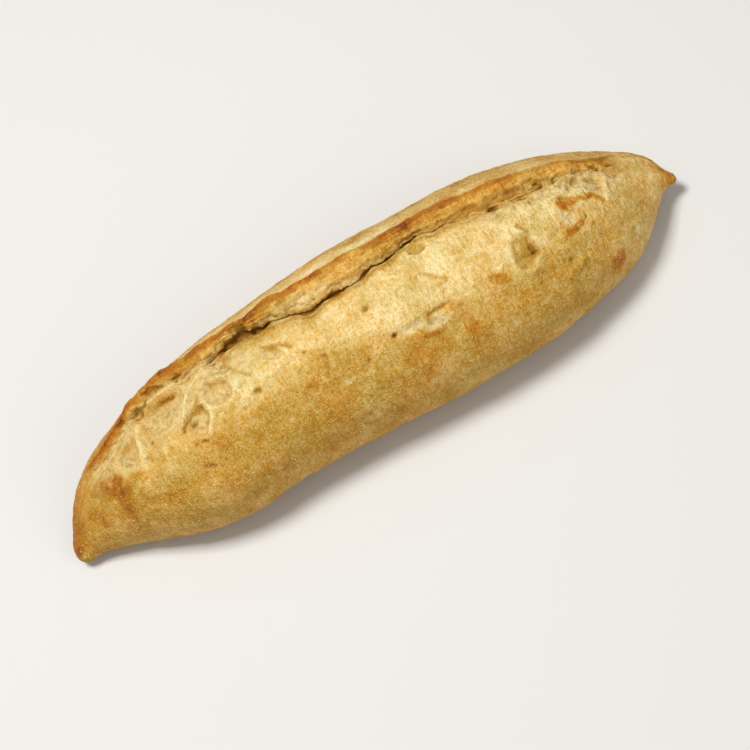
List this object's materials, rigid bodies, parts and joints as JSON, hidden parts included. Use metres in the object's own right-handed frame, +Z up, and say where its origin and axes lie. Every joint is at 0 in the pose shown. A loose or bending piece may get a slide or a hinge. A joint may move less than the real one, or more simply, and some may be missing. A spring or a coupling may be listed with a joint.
{
  "type": "semolina sub roll",
  "caption": "Long crusty bread roll with drawn-out tips, a flat underside and one lengthwise cut that opened into a smooth bloom and a thin raised ear.",
  "frame": {"origin": "middle of the loaf's length and width, on the surface it lies on", "axes": "+X along the loaf towards the nipple-shaped tip, +Y across it towards the ear, +Z up"},
  "size_m": [0.25, 0.0694, 0.0526],
  "materials": {
    "baked_crust": "baked semolina crust: golden tan and speckled on the flanks, pale cream and slightly glossy on the bloom, red-brown along the ear's edge and at the tips"
  },
  "bodies": {
    "root": {"roll": "baked_crust"}
  },
  "joints": []
}
